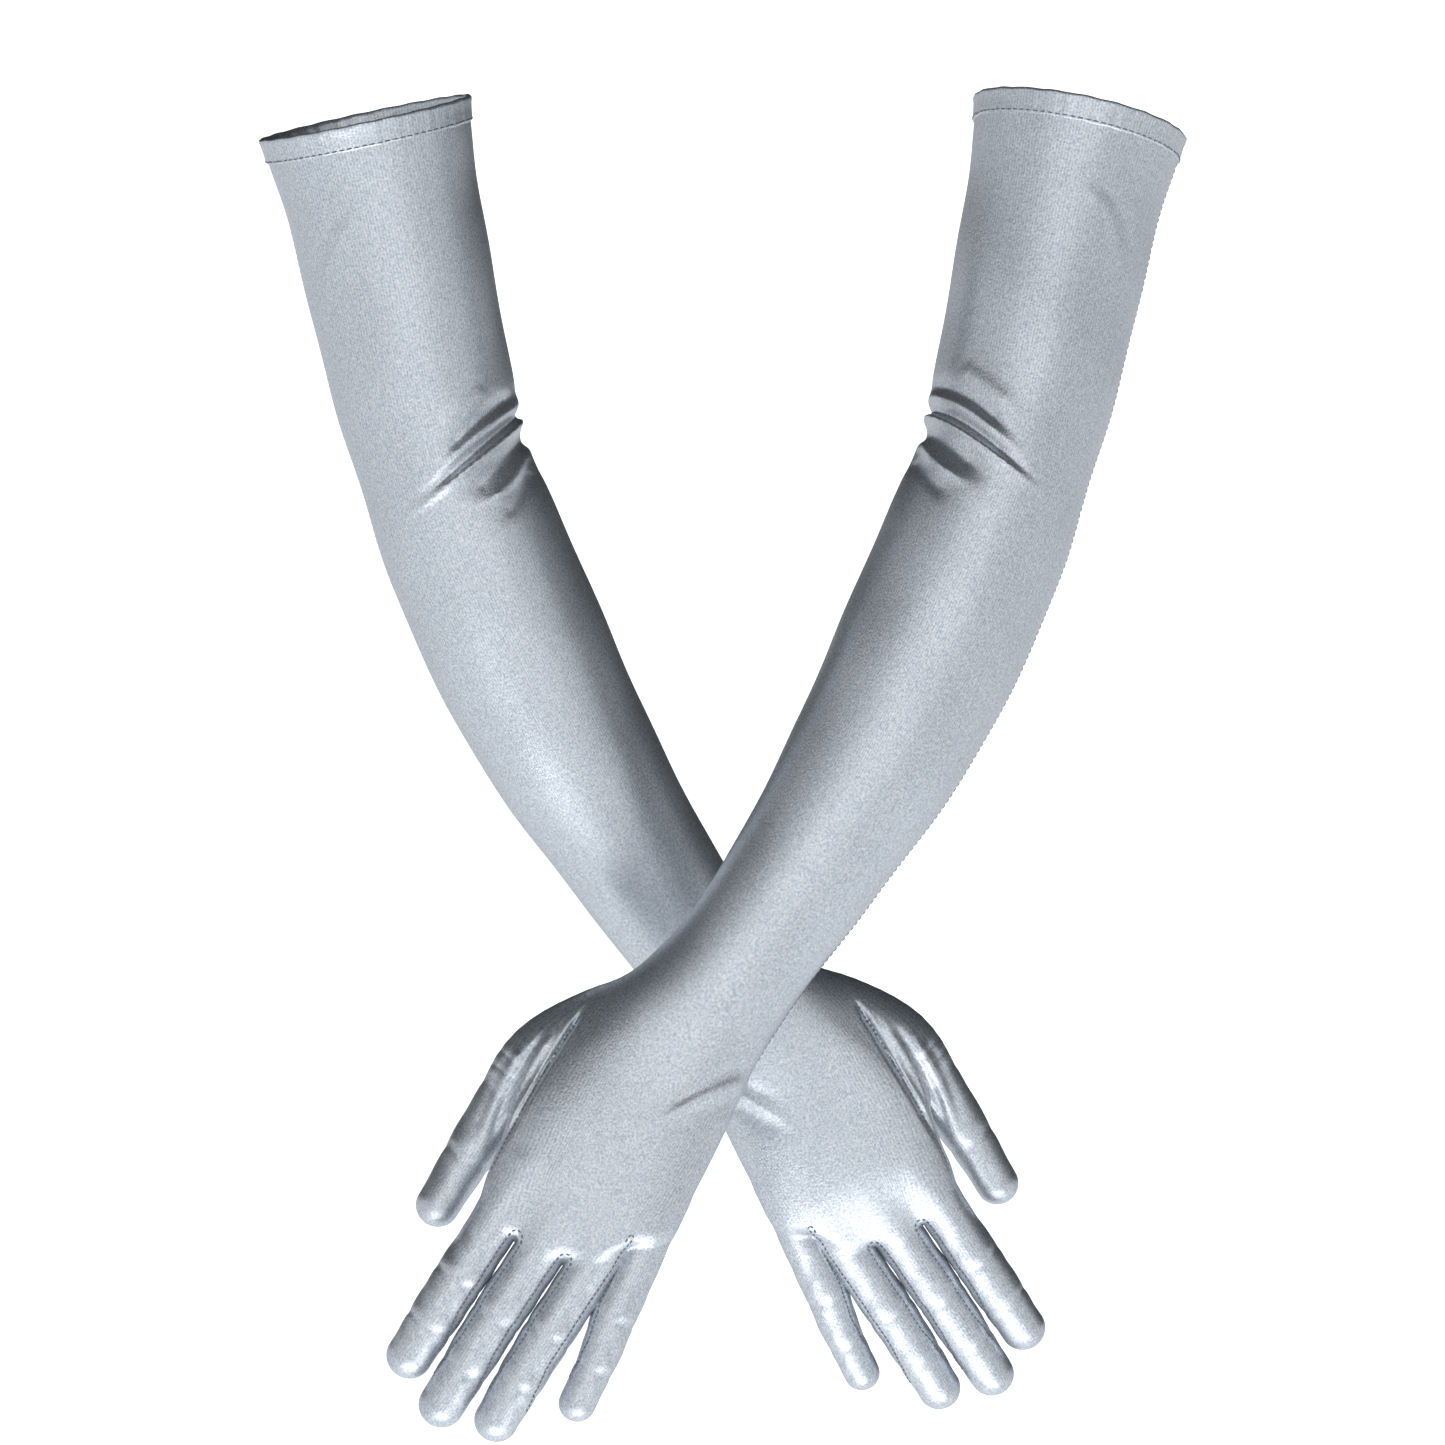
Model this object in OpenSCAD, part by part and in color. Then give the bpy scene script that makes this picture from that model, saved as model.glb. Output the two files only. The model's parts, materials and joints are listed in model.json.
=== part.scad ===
// Pair of above-elbow stretch-satin gloves in their worn shape, hollow and open at the cuffs.
// Frame: +Z up, backs of the hands towards -Y, origin at the centre of the right cuff opening.

/* [Pose] */
// Distance between the two cuff centres
cuff_pitch = 272; // [240:1:320]
// Lean of each glove's own plane about the line through the cuffs, right back and left forward
lean = 7.6; // [6:0.1:10]
// Upper sleeve, angle from vertical
upper_angle = 12; // [8:0.5:18]
// Forearm, angle from vertical
fore_angle = 29; // [25:0.5:33]
// Hand, angle from vertical
hand_angle = 30; // [25:0.5:35]

/* [Sleeve] */
// Cuff plane to elbow hinge
upper_len = 131; // [120:1:150]
// Elbow hinge to wrist hinge
fore_len = 250.5; // [230:0.5:270]
// Inner diameter of the cuff opening
cuff_bore = 78; // [70:1:90]
// Depth of the turned hem
hem_depth = 8.5; // [6:0.5:12]
// Thickness of the turned hem
hem_wall = 1.6; // [1.2:0.1:2]
// Thickness of one layer of fabric with its stand-off from the arm
wall = 1; // [0.8:0.1:1.4]
// Outer radius of the ball that stands in for the elbow's bending cloth
elbow_r = 34; // [32:0.5:37]
// Sideways bow of the forearm
bow = 11; // [0:0.5:14]
// Half width of the wrist
wrist_w = 25; // [22:0.5:28]
// Half thickness of the wrist
wrist_t = 20; // [17:0.5:23]
// Running gap between two bodies
gap = 0.7; // [0.5:0.05:1]

/* [Hand] */
// Wrist hinge to the middle of the open knuckle end
hand_len = 84; // [75:1:95]
// Half width across the knuckles
palm_w = 36.5; // [32:0.5:40]
// Half thickness at the knuckle end
palm_t = 12.6; // [12:0.2:15]
// Slant of the knuckle end, index side further down
slant = 0.465; // [0.3:0.005:0.6]
// Width of one fourchette strip
fourchette_w = 9; // [6:0.5:12]

/* [Thread] */
// Radius of the sewing thread
thread_r = 0.35; // [0.2:0.05:0.5]

/* [Hidden] */
$fn = 64;
RING = 36;
satin = "silver";
thread_grey = "dimgray";
big = 200;

// Each finger: [side offset, hinge from wrist, y offset, splay angle, length, base r, tip r, ball r]
thumb = [44.5, 34, 8, 3, 77.8, 9.2, 8.2, 10.2];
index = [25.9, 111.7, 0, 3, 54, 9, 8, 9.1];
middle = [6.8, 108.2, 0, 2.7, 67.5, 9.2, 8, 9.3];
ring = [-12, 98.3, 0, 1.5, 71.8, 8.9, 7.9, 9.1];
little = [-28.2, 84.7, 0, -6, 63.5, 7.7, 6.3, 8];

// ---- Outlines worked out from the driving sizes ----

cuff_r = cuff_bore / 2;
hem_r = cuff_r + hem_wall;
neck_r = elbow_r - 2;
neck_z = sqrt(elbow_r * elbow_r - neck_r * neck_r);
ball_below = 9;
socket_r = elbow_r + gap + wall;

// Upper sleeve outside, from the hem down to the elbow ball: [radius, height]
function upper_out() = [
  [cuff_r + wall, -hem_depth], [cuff_r - 1, -26], [36.6, -60], [35.2, -95], [neck_r, -upper_len + neck_z + 3],
  for (z = [neck_z : -2.5 : -ball_below]) [sqrt(elbow_r * elbow_r - z * z), z - upper_len],
];
function inset(points, by) = [for (p = points) [p[0] - by, p[1]]];
function reversed(list) = [for (i = [len(list) - 1 : -1 : 0]) list[i]];

// Sections along a limb: [distance down, side offset, y offset, half width, half thickness, slant, bulge]
function fore_x(v) = -bow * sin(180 * v / fore_len);
fore = [for (s = [
  [-1, socket_r, socket_r], [5, socket_r, socket_r], [12, 35, 35], [30, 34.2, 33.5], [60, 34.7, 33],
  [95, 34.2, 32], [127, 32.2, 30], [160, 28.8, 26.5], [190, 27, 23.4],
  [220, wrist_w + gap + 0.9, wrist_t + gap + 1], [fore_len + 1, wrist_w + gap + 0.9, wrist_t + gap + 1]])
  [s[0], fore_x(max(0, min(fore_len, s[0]))), 0, s[1], s[2], 0, 0]];

function ball(v) = sqrt(1 - (v / wrist_t) * (v / wrist_t));
palm = [
  for (v = [-8, -4, 0]) [v, 0, 0, wrist_w * ball(v), wrist_t * ball(v), 0, 0],
  [4, 0, 0, wrist_w + 0.2, wrist_t * ball(4), 0, 0],
  [11, -0.5, 0, wrist_w + 2, wrist_t - 2.9, 0, 0],
  [30, -1.5, 0, 29, 16, 0.1, 0],
  [58, -0.8, 0, 33, 14.2, 0.3, 4],
  [hand_len, 0, 0, palm_w, palm_t, slant, 9]];

gusset_r = thumb[7] + gap + wall;
gusset = [
  [6, 24.5, 6, 8, 8, 0, 0], [12, 30.5, 7.2, 10, 10, 0, 0],
  [20, 38.6, thumb[2], gusset_r - 0.4, gusset_r - 0.4, 0, 0],
  [27, 43.6, thumb[2], gusset_r, gusset_r, 0, 0], [thumb[1] + 1, thumb[0], thumb[2], gusset_r, gusset_r, 0, 0]];

// ---- Lofts ----

function section(s, by) = [for (i = [0 : RING - 1]) let (a = 360 * i / RING)
  [s[1] + (s[3] - by) * cos(a), s[2] + (s[4] - by) * sin(a),
   -(s[0] + s[5] * s[3] * cos(a) + s[6] * sin(a) * sin(a))]];
function rings(sections, by) = [for (s = sections) each section(s, by)];
// Two triangles between ring j and the one below it, flipped for the inside
function side(j, i, base, flip) = let (
  a = base + j * RING + i, b = base + j * RING + (i + 1) % RING, c = b + RING, d = a + RING)
  flip ? [[a, c, d], [a, b, c]] : [[a, d, c], [a, c, b]];
function sides(m, base, flip) = [for (j = [0 : m - 2]) for (i = [0 : RING - 1]) each side(j, i, base, !flip)];
function rim(j, m, flip) = [for (i = [0 : RING - 1]) let (
  a = j * RING + i, b = j * RING + (i + 1) % RING, c = b + m * RING, d = a + m * RING)
  each (flip ? [[a, c, b], [a, d, c]] : [[a, b, c], [a, c, d]])];

// Hollow tube, open at both ends
module tube(sections, thick) {
  m = len(sections);
  polyhedron(
    concat(rings(sections, 0), rings(sections, thick)),
    concat(sides(m, 0, false), sides(m, m * RING, true), rim(0, m, true), rim(m - 1, m, false)));
}

// The same outline, filled
module core(sections) {
  m = len(sections);
  top = [for (i = [0 : RING - 1]) i];
  low = [for (i = [0 : RING - 1]) (m - 1) * RING + i];
  polyhedron(rings(sections, 0), concat(sides(m, 0, false), [reversed(top)], [low]));
}

// ---- Places ----

module right_glove() {
  rotate([lean, 0, 0]) children();
}
module left_glove() {
  translate([cuff_pitch, 0, 0]) rotate([-lean, 0, 0]) mirror([1, 0, 0]) children();
}
module upper_place() {
  rotate([0, -upper_angle, 0]) children();
}
module fore_place() {
  upper_place() translate([0, 0, -upper_len]) rotate([0, upper_angle - fore_angle, 0]) children();
}
module hand_place() {
  fore_place() translate([0, 0, -fore_len]) rotate([0, fore_angle - hand_angle, 0]) children();
}
module finger_place(f) {
  hand_place() translate([f[0], f[2], -f[1]]) rotate([0, -f[3], 0]) children();
}

// ---- Sub-parts of one glove ----

module cuff_hem() {
  upper_place() rotate_extrude() translate([cuff_r, -hem_depth]) square([hem_wall, hem_depth]);
}
module hem_thread() {
  upper_place() translate([0, 0, thread_r - hem_depth]) rotate_extrude()
    translate([hem_r + thread_r, 0]) circle(thread_r, $fn = 16);
}
module upper_sleeve() {
  upper_place() rotate_extrude() polygon(concat(upper_out(), reversed(inset(upper_out(), wall))));
}
module upper_seam() {
  outside = [for (p = upper_out()) if (p[1] > -upper_len + neck_z + 1) p];
  upper_place() rotate([0, 0, 179]) rotate_extrude(angle = 2)
    polygon(concat(inset(outside, -0.5), reversed(outside)));
}
module forearm_sleeve() {
  fore_place() tube(fore, wall);
}
module forearm_seam() {
  line = [for (s = fore) if (s[0] > 1) [s[0], s[1] - s[3] - thread_r, s[2], thread_r, thread_r, 0, 0]];
  fore_place() core(line);
}
module hand_panel() {
  hand_place() tube(palm, wall);
}
module thumb_gusset() {
  hand_place() difference() {
    tube(gusset, wall);
    core(palm);
  }
}

// Half outline of a stall from its open mouth over the ball to the tip: [radius, height]
function stall_out(f, by) = let (R = f[7] - by, r = f[5] - by, t = f[6] - by, end = f[4] - f[6])
  [for (a = [24 : -8 : -acos(r / R) + 2]) [R * cos(a), R * sin(a)],
   [r * 0.999, -sqrt(R * R - r * r) - 0.5],
   for (a = [0 : 10 : 80]) [t * cos(a), -end - t * sin(a)],
   [0, -end - t]];
module stall_shell(f) {
  rotate_extrude() polygon(concat(stall_out(f, 0), reversed(stall_out(f, wall))));
}
// Slab through one side of a finger, where its fourchette is let in
module fourchette_slab(f, toward) {
  deep = f[4] - 2 * f[6];
  translate([toward > 0 ? 1 : -big - 1, -fourchette_w / 2, -deep]) cube([big, fourchette_w, deep]);
}
module stall(f, toward) {
  finger_place(f) difference() {
    stall_shell(f);
    for (t = toward) fourchette_slab(f, t);
  }
}
module fourchette(f, toward) {
  finger_place(f) intersection() {
    stall_shell(f);
    fourchette_slab(f, toward);
  }
}

// ---- Nodes ----

module right_cuff_hem() color(satin) right_glove() cuff_hem();
module right_hem_thread() color(thread_grey) right_glove() hem_thread();
module right_upper_sleeve() color(satin) right_glove() upper_sleeve();
module right_upper_seam() color(thread_grey) right_glove() upper_seam();
module right_forearm_sleeve() color(satin) right_glove() forearm_sleeve();
module right_forearm_seam() color(thread_grey) right_glove() forearm_seam();
module right_hand_panel() color(satin) right_glove() hand_panel();
module right_thumb_gusset() color(satin) right_glove() thumb_gusset();
module right_thumb() color(satin) right_glove() stall(thumb, []);
module right_index() color(satin) right_glove() stall(index, [-1]);
module right_middle() color(satin) right_glove() stall(middle, [-1, 1]);
module right_ring() color(satin) right_glove() stall(ring, [-1, 1]);
module right_little() color(satin) right_glove() stall(little, [1]);
module right_index_fourchette() color(satin) right_glove() fourchette(index, -1);
module right_middle_fourchette_a() color(satin) right_glove() fourchette(middle, 1);
module right_middle_fourchette_b() color(satin) right_glove() fourchette(middle, -1);
module right_ring_fourchette_a() color(satin) right_glove() fourchette(ring, 1);
module right_ring_fourchette_b() color(satin) right_glove() fourchette(ring, -1);
module right_little_fourchette() color(satin) right_glove() fourchette(little, 1);
module left_cuff_hem() color(satin) left_glove() cuff_hem();
module left_hem_thread() color(thread_grey) left_glove() hem_thread();
module left_upper_sleeve() color(satin) left_glove() upper_sleeve();
module left_upper_seam() color(thread_grey) left_glove() upper_seam();
module left_forearm_sleeve() color(satin) left_glove() forearm_sleeve();
module left_forearm_seam() color(thread_grey) left_glove() forearm_seam();
module left_hand_panel() color(satin) left_glove() hand_panel();
module left_thumb_gusset() color(satin) left_glove() thumb_gusset();
module left_thumb() color(satin) left_glove() stall(thumb, []);
module left_index() color(satin) left_glove() stall(index, [-1]);
module left_middle() color(satin) left_glove() stall(middle, [-1, 1]);
module left_ring() color(satin) left_glove() stall(ring, [-1, 1]);
module left_little() color(satin) left_glove() stall(little, [1]);
module left_index_fourchette() color(satin) left_glove() fourchette(index, -1);
module left_middle_fourchette_a() color(satin) left_glove() fourchette(middle, 1);
module left_middle_fourchette_b() color(satin) left_glove() fourchette(middle, -1);
module left_ring_fourchette_a() color(satin) left_glove() fourchette(ring, 1);
module left_ring_fourchette_b() color(satin) left_glove() fourchette(ring, -1);
module left_little_fourchette() color(satin) left_glove() fourchette(little, 1);

right_cuff_hem();
right_hem_thread();
right_upper_sleeve();
right_upper_seam();
right_forearm_sleeve();
right_forearm_seam();
right_hand_panel();
right_thumb_gusset();
right_thumb();
right_index();
right_middle();
right_ring();
right_little();
right_index_fourchette();
right_middle_fourchette_a();
right_middle_fourchette_b();
right_ring_fourchette_a();
right_ring_fourchette_b();
right_little_fourchette();
left_cuff_hem();
left_hem_thread();
left_upper_sleeve();
left_upper_seam();
left_forearm_sleeve();
left_forearm_seam();
left_hand_panel();
left_thumb_gusset();
left_thumb();
left_index();
left_middle();
left_ring();
left_little();
left_index_fourchette();
left_middle_fourchette_a();
left_middle_fourchette_b();
left_ring_fourchette_a();
left_ring_fourchette_b();
left_little_fourchette();
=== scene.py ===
"""Pair of above-elbow stretch-satin gloves, worn shape, hollow and open at the cuffs.

Each glove is one implicit surface, worked out in the right glove's own plane in millimetres:
a limb of changing section along a bent centre line, joined smoothly to the thumb and fingers,
with folds and sewn grooves as part of the same surface. It is meshed in pieces that share that
surface, so the pieces meet without a step, and the left glove is its mirror.
"""
import json
import math

import bpy
import numpy as np
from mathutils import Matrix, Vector


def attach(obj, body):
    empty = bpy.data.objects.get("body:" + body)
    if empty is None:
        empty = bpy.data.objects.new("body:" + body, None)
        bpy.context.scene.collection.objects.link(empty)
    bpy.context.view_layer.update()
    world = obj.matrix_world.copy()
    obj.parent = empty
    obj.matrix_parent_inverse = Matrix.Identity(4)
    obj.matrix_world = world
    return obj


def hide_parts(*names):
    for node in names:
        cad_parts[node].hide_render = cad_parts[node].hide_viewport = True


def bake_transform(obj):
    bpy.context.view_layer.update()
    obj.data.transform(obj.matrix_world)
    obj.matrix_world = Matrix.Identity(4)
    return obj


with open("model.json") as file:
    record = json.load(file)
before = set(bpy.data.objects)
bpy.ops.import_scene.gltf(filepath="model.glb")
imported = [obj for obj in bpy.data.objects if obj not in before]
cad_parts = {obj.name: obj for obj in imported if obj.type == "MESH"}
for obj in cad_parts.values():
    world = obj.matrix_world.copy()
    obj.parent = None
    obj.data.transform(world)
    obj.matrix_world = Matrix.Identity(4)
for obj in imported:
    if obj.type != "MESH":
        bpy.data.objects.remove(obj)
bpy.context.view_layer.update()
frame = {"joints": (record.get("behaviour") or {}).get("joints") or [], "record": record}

# ---- Places taken from the frame, in the right glove's own plane (x across, y back, z up, mm) ----

MM = 0.001
joints = {j["name"]: j for j in frame["joints"]}
mounts = {m["name"]: m for m in frame["record"]["mounts"]}
lean_axis = joints["right_elbow"]["axis"]
LEAN = math.atan2(-lean_axis[2], -lean_axis[1])
PITCH = mounts["left_cuff"]["pos_m"][0] / MM


def turn_x(angle):
    """Rotation matrix about X."""
    c, s = math.cos(angle), math.sin(angle)
    return np.array([[1, 0, 0], [0, c, -s], [0, s, c]])


def in_plane(point_m):
    """A point of the right glove, from the frame's metres to its own plane in mm."""
    return turn_x(-LEAN) @ (np.array(point_m) / MM)


def placed(points, side):
    """Points in the glove's own plane, to the frame's metres on the given side."""
    points = np.asarray(points, float)
    if side == "right":
        return points @ turn_x(LEAN).T * MM
    mirrored = points * [-1, 1, 1]
    return (mirrored @ turn_x(-LEAN).T + [PITCH, 0, 0]) * MM


ELBOW = in_plane(joints["right_elbow"]["pos_m"])
WRIST = in_plane(joints["right_wrist"]["pos_m"])
across = turn_x(-LEAN) @ np.array(joints["right_wrist"]["axis"])
HAND_ANGLE = math.atan2(across[2], across[0])
UPPER_LEN = float(np.linalg.norm(ELBOW))
FORE_LEN = float(np.linalg.norm(WRIST - ELBOW))
DIGITS = ("thumb", "index", "middle", "ring", "little")
HINGE = {d: in_plane(joints[f"right_{d}_bend"]["pos_m"]) for d in DIGITS}

U = np.array([math.cos(HAND_ANGLE), 0, math.sin(HAND_ANGLE)])     # across the hand, thumb side
V = np.array([math.sin(HAND_ANGLE), 0, -math.cos(HAND_ANGLE)])    # along the hand, to the fingertips
Y = np.array([0.0, 1, 0])                                         # to the palm


def hand_point(u, v, y=0.0):
    """A point from the hand's own directions: u to the thumb side, v from the wrist, y to the palm."""
    return WRIST + u * U + v * V + y * Y


# ---- Centre line and sections of the limb; s runs from the cuff through the elbow to the fingers ----

BOW = 11.0          # sideways bow of the forearm
STEP = 1.0          # spacing of the stored centre line
S_WRIST = UPPER_LEN + FORE_LEN
S = np.arange(-14, S_WRIST + 125, STEP)


def smoothed(values, sigma):
    """Gaussian smoothing along the first axis, with the ends carried on straight."""
    half = int(3 * sigma / STEP)
    kernel = np.exp(-0.5 * (np.arange(-half, half + 1) * STEP / sigma) ** 2)
    kernel /= kernel.sum()
    first, last = values[:1], values[-1:]
    k = np.arange(half, 0, -1)
    head = first - k.reshape(-1, *[1] * (values.ndim - 1)) * (values[1:2] - first)
    tail = last + k[::-1].reshape(-1, *[1] * (values.ndim - 1)) * (last - values[-2:-1])
    long = np.concatenate([head, values, tail])
    if values.ndim == 1:
        return np.convolve(long, kernel, "valid")
    return np.stack([np.convolve(long[:, i], kernel, "valid") for i in range(values.shape[1])], 1)


def centre_line():
    """Points (x, z) of the limb's axis at each stored s."""
    up = ELBOW / UPPER_LEN
    fore = (WRIST - ELBOW) / FORE_LEN
    side = np.array([-fore[2], 0, fore[0]])
    out = []
    for s in S:
        if s <= UPPER_LEN:
            p = s * up
        elif s <= S_WRIST:
            v = s - UPPER_LEN
            p = ELBOW + v * fore - BOW * math.sin(math.pi * v / FORE_LEN) * side
        else:
            p = WRIST + (s - S_WRIST) * V
        out.append((p[0], p[2]))
    return smoothed(np.array(out), 11)


C = centre_line()
T = np.gradient(C, STEP, axis=0)
T /= np.linalg.norm(T, axis=1)[:, None]
N = np.stack([-T[:, 1], T[:, 0]], 1)      # towards the thumb side

# Half width seen from the front, along s
WIDTH = [(-14, 41.2), (0, 40.0), (8, 39.4), (14, 38.8), (24, 37.5), (34, 36.7), (60, 36.1), (95, 34.9),
         (112, 34.4), (122, 33.3), (131, 32.6), (140, 32.8), (150, 33.8), (162, 34.7), (193, 35.3),
         (215, 34.9), (240, 33.6), (262, 31.9), (287, 29.4), (305, 27.9), (330, 26.1), (350, 25.7),
         (369, 27.2), (381, 29.6), (396, 33.2), (411, 36.2), (432, 38), (446, 37.0), (462, 35.6), (480, 34.5),
         (520, 34)]
# Half thickness front to back, along s
DEPTH = [(-14, 40.5), (0, 39.4), (24, 36.8), (60, 35.4), (112, 33.6), (131, 33.2), (162, 32.8),
         (215, 31.0), (262, 27.6), (305, 23.6), (350, 20.2), (381, 18.0), (396, 16.6), (411, 15.4),
         (439, 13.6), (456, 12.4), (466, 11.0), (476, 9.0), (486, 7.4), (520, 6.5)]
# Shift of the section towards the palm, along s; the knuckles stand towards the back of the hand
LIFT = [(-14, 0), (388, 0), (411, -1.2), (435, -3.4), (452, -4.6), (464, -4.4), (480, -3.2), (520, -2)]
# Sideways offset of the section from the centre line
OFFSET = [(-14, 0), (355, 0), (369, 0.6), (381, 1.6), (396, 3.0), (411, 4.8), (432, 5.2), (446, 4.0),
          (462, 2.2), (480, 1), (520, 0)]
# Squareness of the section, 2 for an ellipse
POWER = [(-14, 2), (366, 2.0), (411, 2.15), (461, 2.4), (520, 2.5)]


def stored(knots, sigma=7):
    """Values at each stored s, smoothly through the knots."""
    at, value = zip(*knots)
    return smoothed(np.interp(S, at, value), sigma)


HALF_W, HALF_T, SIDE, SQUARE = stored(WIDTH), stored(DEPTH, 5), stored(OFFSET), stored(POWER, 12)
RISE = stored(LIFT, 5)


def along(array, s):
    """A stored array at any s."""
    if array.ndim == 1:
        return np.interp(s, S, array)
    return np.stack([np.interp(s, S, array[:, i]) for i in range(array.shape[1])], 1)


def limb_coords(P):
    """s along the limb, a to the thumb side and b to the back of each point."""
    coarse = slice(0, None, 6)
    cx, cz = C[coarse, 0], C[coarse, 1]
    s = np.empty(len(P))
    for i in range(0, len(P), 60000):
        q = P[i:i + 60000]
        near = ((q[:, :1] - cx) ** 2 + (q[:, 2:] - cz) ** 2).argmin(1)
        s[i:i + 60000] = S[coarse][near]
    flat = P[:, [0, 2]]
    for _ in range(3):
        s = np.clip(s + ((flat - along(C, s)) * along(T, s)).sum(1), S[0], S[-1])
    a = ((flat - along(C, s)) * along(N, s)).sum(1)
    return s, a, P[:, 1] - along(RISE, s)


# ---- Digits: points (u, v, y, radius) down each axis in the hand's own directions ----

PATHS = {
    "thumb": [(16, -4, 3, 11), (31, 14, 6, 13), (42.6, 36, 7.5, 14), (46.6, 58, 8.5, 11),
              (48.2, 84, 8.5, 9.2), (48.6, 103.6, 7, 8.0)],
    "index": [(24.8, 76, -4, 9.8), (25.9, 90, -3.6, 9.8), (26.2, 103, -2.6, 9.4), (27.5, 124, -0.9, 9.55),
              (28.4, 142, 1.1, 9.2), (29.2, 157.4, 3.6, 8.5)],
    "middle": [(5.2, 76, -4, 9.6), (5.8, 90, -3.8, 9.8), (6.5, 103, -2.8, 9.6), (8.1, 128, -0.8, 9.6),
               (9.0, 150, 1.4, 9.1), (9.7, 167.2, 3.8, 8.4)],
    "ring": [(-13.6, 72, -3.8, 9.2), (-13.8, 86, -3.4, 9.4), (-13.1, 100, -2.4, 9.3), (-11.6, 126, -0.4, 9.3),
             (-11.0, 146, 1.6, 8.8), (-10.8, 161.8, 3.8, 8.2)],
    "little": [(-25.0, 60, -2.6, 7.2), (-26.6, 74, -2.4, 7.8), (-28.1, 90, -1.4, 8.1), (-29.4, 106, 0, 8.4),
               (-32.0, 121, 1.4, 7.5), (-33.8, 141.6, 3.6, 6.7)],
}
# How far down the hand (v) its own skin reaches inside each digit's stall, and where the stall comes
# out of it
STUB = {"thumb": 52, "index": 111, "middle": 108, "ring": 99, "little": 86}
EMERGE = {"thumb": 44, "index": 95, "middle": 95, "ring": 91, "little": 78}
SINK = 0.8          # the stub is this much slimmer than the stall once the stall is out


def rounded(values):
    """Catmull-Rom points through given ones, five to a span."""
    p = np.array(values, float)
    p = np.concatenate([2 * p[:1] - p[1:2], p, 2 * p[-1:] - p[-2:-1]])
    t = np.linspace(0, 1, 5, endpoint=False)[:, None]
    spans = [0.5 * (2 * b + (c - a) * t + (2 * a - 5 * b + 4 * c - d) * t ** 2
                    + (3 * b - a - 3 * c + d) * t ** 3) for a, b, c, d in zip(p, p[1:], p[2:], p[3:])]
    return np.concatenate([*spans, p[-2:-1]])


def digit_line(name):
    """Axis points in the glove's plane and radii."""
    r = rounded(PATHS[name])
    return np.array([hand_point(u, v, y) for u, v, y, _ in r]), r[:, 3]


LINES = {d: digit_line(d) for d in DIGITS}


def smooth_min(a, b, k):
    """Least of two distances with a fillet of about k."""
    h = np.clip(0.5 + 0.5 * (b - a) / k, 0, 1)
    return b + (a - b) * h - k * h * (1 - h)


def smooth_step(x, lo, hi):
    """0 up to lo, 1 from hi, smooth between."""
    t = np.clip((x - lo) / (hi - lo), 0, 1)
    return t * t * (3 - 2 * t)


def stub(P, name, sunk):
    """Distance to the surface of a digit's stub, which the palm's skin runs into."""
    line, radius = LINES[name]
    down = (line - WRIST) @ V
    best = np.full(len(P), 1e9)
    for i in np.flatnonzero(down[:-1] < STUB[name]):
        step = line[i + 1] - line[i]
        h = np.clip((P - line[i]) @ step / (step @ step), 0, 1)
        d = np.linalg.norm(P - line[i] - h[:, None] * step, axis=1)
        best = np.minimum(best, d - radius[i] - h * (radius[i + 1] - radius[i]))
    if sunk:
        best = best + SINK * smooth_step((P - WRIST) @ V, EMERGE[name] - 1, EMERGE[name] + 12)
    return best


# End of the palm under the fingers, v for each u
PALM_END = [(-45, 60), (-36, 68), (-29, 76), (-22.6, 80.5), (-14, 92), (-4, 97.5), (6, 99.5), (16.9, 99.3),
            (26, 97), (36, 90), (46, 80)]

# ---- Folds, in the glove's own plane: (x, z) points, ridge height (a groove is negative), half width ----

FOLDS = [
    # Elbow: pleats fanning out from the crook across the front
    ([(47, -100), (36, -109), (24, -121)], 0.55, 3.2),
    ([(56, -104), (41, -114), (25, -131)], -1.3, 2.8),
    ([(60, -107), (43, -118), (22, -137)], 1.2, 2.4),
    ([(62, -110), (42, -124), (16, -148)], -1.7, 2.4),
    ([(64, -112), (42, -128.5), (12, -152)], 1.7, 1.7),
    ([(64, -119), (50, -131), (34, -148)], -1.7, 3.8),
    ([(62, -125), (56, -136), (43, -147)], 1.4, 1.9),
    ([(65, -133), (58, -143), (50, -153)], -0.7, 2.8),
    # Outer side below the cuff
    ([(-5, -32), (-14, -43), (-19, -70)], -0.30, 3.2),
    ([(-1, -33), (-10, -45), (-14.5, -70)], 0.25, 3.0),
    # Wrist, little-finger side
    ([(126, -361), (143, -369), (164, -381)], -0.7, 2.6),
    ([(127, -367), (145, -375), (167, -388)], 0.75, 2.2),
    ([(128, -374), (147, -382), (163, -393)], -0.5, 3.0),
]
# Folds and the seam between thumb and palm: (u, v) points in the hand's own directions
THUMB_FOLDS = [
    ([(37.4, 13), (38.2, 30), (38.4, 50), (38.0, 66), (37.2, 82)], -2.0, 1.1),
    ([(43.2, 26), (43.6, 44), (42.6, 60), (40.6, 74)], 0.9, 1.5),
    ([(46.4, 30), (46.6, 46), (45.2, 62), (42.6, 76)], -1.0, 1.3),
    ([(50.6, 36), (50.2, 50), (48.4, 64), (44.8, 80)], 1.1, 1.7),
    ([(53.6, 40), (53, 54), (50.8, 68), (47.6, 82)], -0.7, 1.8),
]
FOLDS += [([tuple(hand_point(u, v)[[0, 2]]) for u, v in points], height, half)
          for points, height, half in THUMB_FOLDS]
REACH = 3.0         # a fold is felt within this many half widths of its line


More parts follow.
